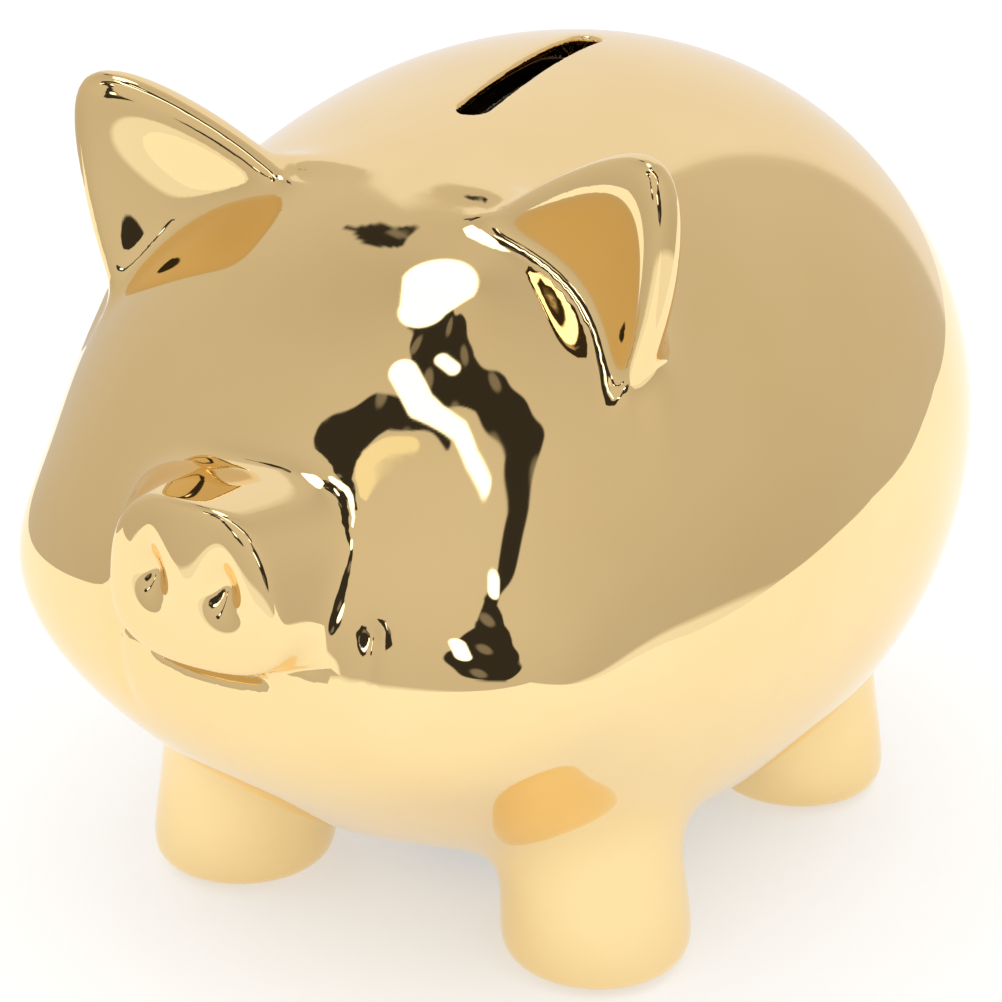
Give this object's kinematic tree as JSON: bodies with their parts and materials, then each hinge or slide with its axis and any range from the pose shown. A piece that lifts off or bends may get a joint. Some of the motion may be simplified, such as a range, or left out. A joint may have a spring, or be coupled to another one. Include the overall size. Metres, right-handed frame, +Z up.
{
  "type": "piggy bank",
  "caption": "Gold-plated ceramic pig coin bank standing on four stub legs, with a coin slot in its back and a rubber stopper in its belly that pulls out.",
  "frame": {"origin": "middle of the object's footprint box, on the surface it stands on", "axes": "+Z up; the snout points along -Y; +X is the pig's left side"},
  "size_m": [0.1138, 0.1554, 0.1173],
  "materials": {
    "gold_plate": "mirror-bright gold plating over glazed ceramic",
    "stopper_rubber": "soft black rubber, satin",
    "pad_felt": "dense brown felt"
  },
  "bodies": {
    "bank": {"body_shell": "gold_plate", "snout": "gold_plate", "left_ear": "gold_plate", "right_ear": "gold_plate", "front_left_leg": "gold_plate", "front_right_leg": "gold_plate", "rear_left_leg": "gold_plate", "rear_right_leg": "gold_plate", "tail": "gold_plate", "front_left_pad": "pad_felt", "front_right_pad": "pad_felt", "rear_left_pad": "pad_felt", "rear_right_pad": "pad_felt"},
    "stopper": {"stopper": "stopper_rubber"}
  },
  "joints": [
    {"name": "stopper_pull", "type": "slide", "parent": "bank", "child": "stopper", "axis": [0, 0, -1], "range_m": [0, 0.008]}
  ]
}
